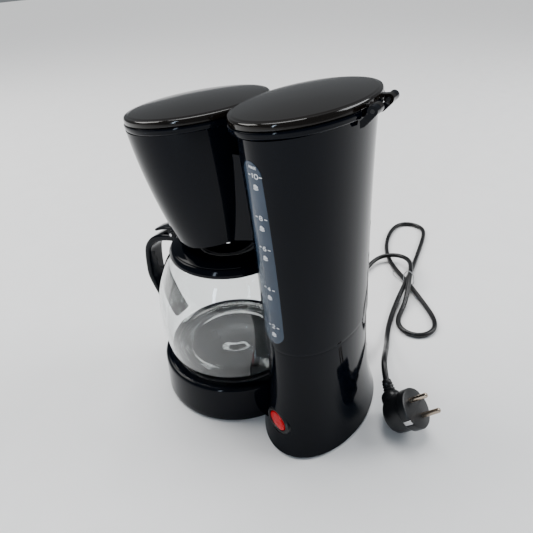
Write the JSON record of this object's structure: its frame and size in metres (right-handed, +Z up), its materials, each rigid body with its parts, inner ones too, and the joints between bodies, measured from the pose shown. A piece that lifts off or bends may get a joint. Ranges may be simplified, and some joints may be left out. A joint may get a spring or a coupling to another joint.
{
  "type": "drip coffee maker",
  "caption": "Black drip coffee maker with a glass jug on a warming base, an hourglass water tank with a level window, a two-lobed lid and a bundled mains lead with an angled plug.",
  "frame": {"origin": "on the table, under the middle of the machine's box without its lead", "axes": "+Z up; -Y towards the jug's handle; +Y towards the water tank; the level window and the switch are on the +X side"},
  "size_m": [0.504, 0.3202, 0.3127],
  "materials": {
    "black_gloss": "glossy black moulded plastic",
    "black_matte": "matte black plastic",
    "plate_black": "black non-stick coating",
    "rubber_black": "matte black rubber",
    "steel": "zinc plated steel",
    "aluminium": "extruded aluminium",
    "silicone": "milky silicone rubber",
    "white_plastic": "natural white plastic",
    "window": "smoky blue translucent plastic",
    "marks": "white printing",
    "red_clear": "translucent red plastic",
    "glass": "clear borosilicate glass",
    "pin_metal": "dull nickelled brass",
    "clip_metal": "bright spring metal"
  },
  "bodies": {
    "machine": {"lower_housing": "black_gloss", "bottom_cover": "black_matte", "rubber_feet": "rubber_black", "base_screws": "steel", "warming_plate": "plate_black", "plate_seal": "rubber_black", "heater_tube": "aluminium", "heater_clamps": "steel", "thermostat": "steel", "thermal_fuse": "white_plastic", "terminal_block": "white_plastic", "switch_bezel": "black_matte", "switch_body": "black_matte", "tank_body": "black_gloss", "brew_head": "black_gloss", "valve_sleeve": "black_matte", "neck_block": "black_gloss", "top_rim": "black_gloss", "sight_window": "window", "gauge_marks": "marks", "tank_strainer": "white_plastic", "inlet_hose": "silicone", "check_valve": "white_plastic", "riser_pipe": "white_plastic", "outlet_hose": "silicone", "spray_spout": "black_matte", "spray_head": "black_matte", "filter_basket": "black_matte", "valve_spring": "steel", "lid_hinge_pins": "steel", "cord_strain_relief": "rubber_black", "mains_cord": "rubber_black", "cord_tie": "white_plastic", "plug_body": "rubber_black", "plug_pins": "pin_metal", "plug_earth_clips": "clip_metal"},
    "lid_body": {"lid": "black_gloss"},
    "carafe": {"carafe_glass": "glass", "carafe_collar": "black_gloss", "carafe_handle": "black_gloss", "handle_screw": "steel", "carafe_lid_pin": "steel"},
    "carafe_lid_body": {"carafe_lid": "black_gloss"},
    "rocker": {"rocker_switch": "red_clear"},
    "drip_stop": {"drip_stop_valve": "black_matte"}
  },
  "joints": [
    {"name": "lid_hinge", "type": "hinge", "parent": "machine", "child": "lid_body", "pos_m": [0, 0.11675, 0.30667], "axis": [-1, 0, 0], "range_deg": [0, 95]},
    {"name": "carafe_slide", "type": "slide", "parent": "machine", "child": "carafe", "axis": [0, -1, 0], "range_m": [0, 0.17]},
    {"name": "carafe_lid_hinge", "type": "hinge", "parent": "carafe", "child": "carafe_lid_body", "pos_m": [0, -0.0835, 0.1635], "axis": [1, 0, 0], "range_deg": [0, 7]},
    {"name": "rocker_tilt", "type": "hinge", "parent": "machine", "child": "rocker", "pos_m": [0.06359, 0.06383, 0.02734], "axis": [0.1959, -0.0998, -0.9755], "range_deg": [-6, 6]},
    {"name": "drip_stop_slide", "type": "slide", "parent": "machine", "child": "drip_stop", "axis": [0, 0, 1], "range_m": [0, 0.0014], "stiffness_N_per_m": 300, "springref_m": -0.002}
  ]
}
